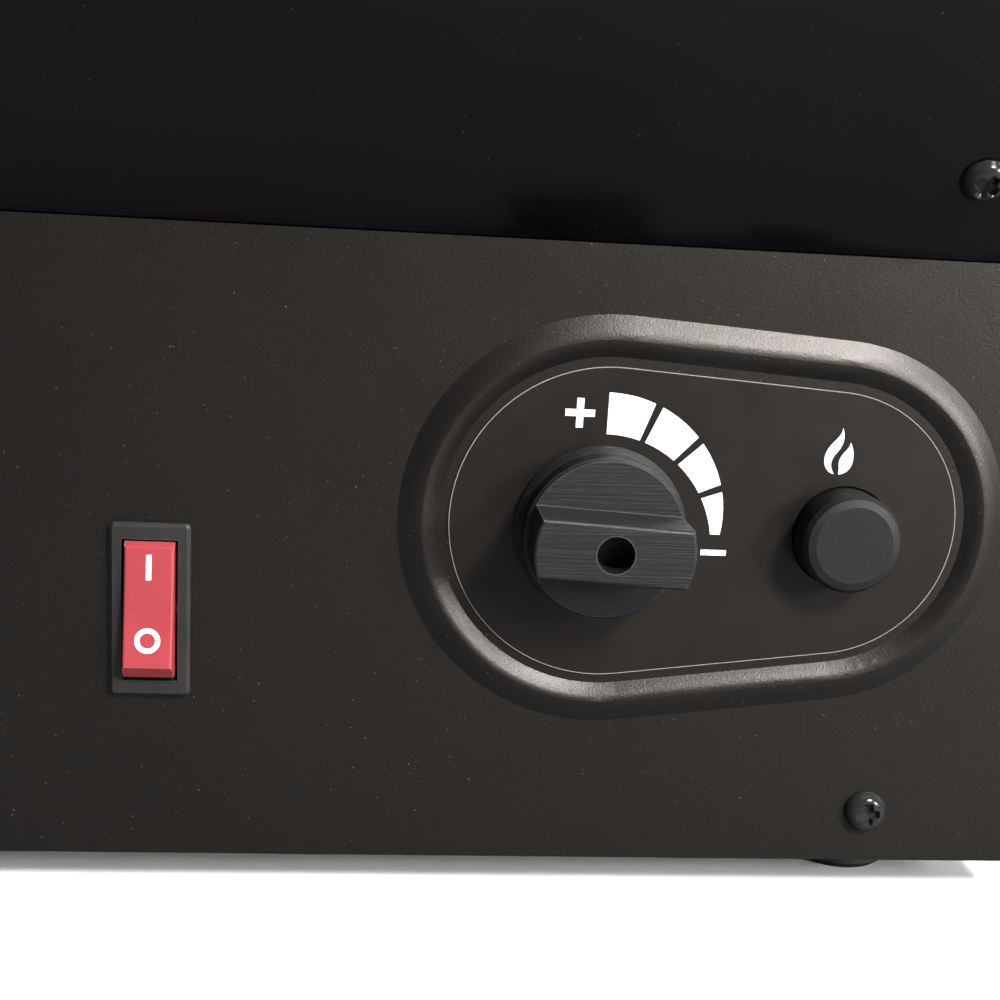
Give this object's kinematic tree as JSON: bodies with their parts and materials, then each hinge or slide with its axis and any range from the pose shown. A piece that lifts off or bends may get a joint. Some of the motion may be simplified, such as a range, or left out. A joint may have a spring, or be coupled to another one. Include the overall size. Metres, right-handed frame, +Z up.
{
  "type": "forced-air propane heater",
  "caption": "Portable propane heater: a horizontal forced-air barrel on a sheet-metal base with a heat knob, igniter button and rocker switch.",
  "frame": {"origin": "on the floor, under the middle of the whole heater's box", "axes": "+X along the barrel from the hot outlet to the fan end, -Y out of the control panel, +Z up"},
  "size_m": [0.4508, 0.2112, 0.3452],
  "materials": {
    "barrel_black": "glossy",
    "base_black": "fine satin powder coat",
    "guard_black": "semi gloss",
    "liner_steel": "heat tinted mill finish",
    "zinc_steel": "bright zinc plate",
    "screw_black": "glossy black",
    "brass": "satin",
    "cast_aluminium": "as cast",
    "motor_steel": "satin",
    "knob_plastic": "brushed-look matte",
    "button_rubber": "matte",
    "bezel_plastic": "satin",
    "rocker_red": "satin gloss",
    "label_film": "satin film",
    "rubber": "matte",
    "white_ceramic": "glazed",
    "switch_can": "plated"
  },
  "bodies": {
    "heater": {"lower_shell": "barrel_black", "upper_shell": "barrel_black", "front_ring": "barrel_black", "base_pan": "base_black", "control_panel": "base_black", "blank_panel": "base_black", "front_plate": "base_black", "rear_plate": "base_black", "rear_guard": "guard_black", "handle": "guard_black", "combustion_chamber": "liner_steel", "chamber_back_plate": "liner_steel", "outlet_baffle": "liner_steel", "chamber_standoffs": "liner_steel", "burner_head": "liner_steel", "motor_bracket": "zinc_steel", "valve_nut": "zinc_steel", "electrode_rod": "zinc_steel", "thermocouple": "zinc_steel", "burner_tube": "zinc_steel", "inlet_tube": "zinc_steel", "panel_screws": "screw_black", "shell_screws": "screw_black", "bracket_screws": "screw_black", "handle_screws": "screw_black", "gas_inlet_fitting": "brass", "inlet_lock_nut": "brass", "gas_nozzle": "brass", "nozzle_elbow": "brass", "rocker_terminals": "brass", "valve_body": "cast_aluminium", "motor": "motor_steel", "solenoid_coil": "motor_steel", "igniter_body": "button_rubber", "rocker_housing": "bezel_plastic", "cord_gland": "bezel_plastic", "label_plate": "label_film", "rubber_feet": "rubber", "handle_grip": "rubber", "igniter_lead": "rubber", "electrode_insulator": "white_ceramic", "limit_switch": "switch_can"},
    "knob": {"knob": "knob_plastic", "valve_stem": "cast_aluminium"},
    "button": {"igniter_button": "button_rubber"},
    "rocker": {"rocker": "rocker_red"},
    "fan": {"fan_blade": "cast_aluminium", "motor_shaft": "zinc_steel", "fan_nut": "zinc_steel"}
  },
  "joints": [
    {"name": "knob_turn", "type": "hinge", "parent": "heater", "child": "knob", "pos_m": [0.07775, -0.072, 0.07075], "axis": [0, -1, 0], "range_deg": [0, 105]},
    {"name": "igniter_push", "type": "slide", "parent": "heater", "child": "button", "axis": [0, 1, 0], "range_m": [0, 0.0045], "stiffness_N_per_m": 1500},
    {"name": "rocker_tip", "type": "hinge", "parent": "heater", "child": "rocker", "pos_m": [0, -0.071, 0.054], "axis": [1, 0, 0], "range_deg": [0, 14]},
    {"name": "fan_spin", "type": "hinge", "parent": "heater", "child": "fan", "pos_m": [0.187, 0, 0.19305], "axis": [1, 0, 0], "continuous": true}
  ]
}
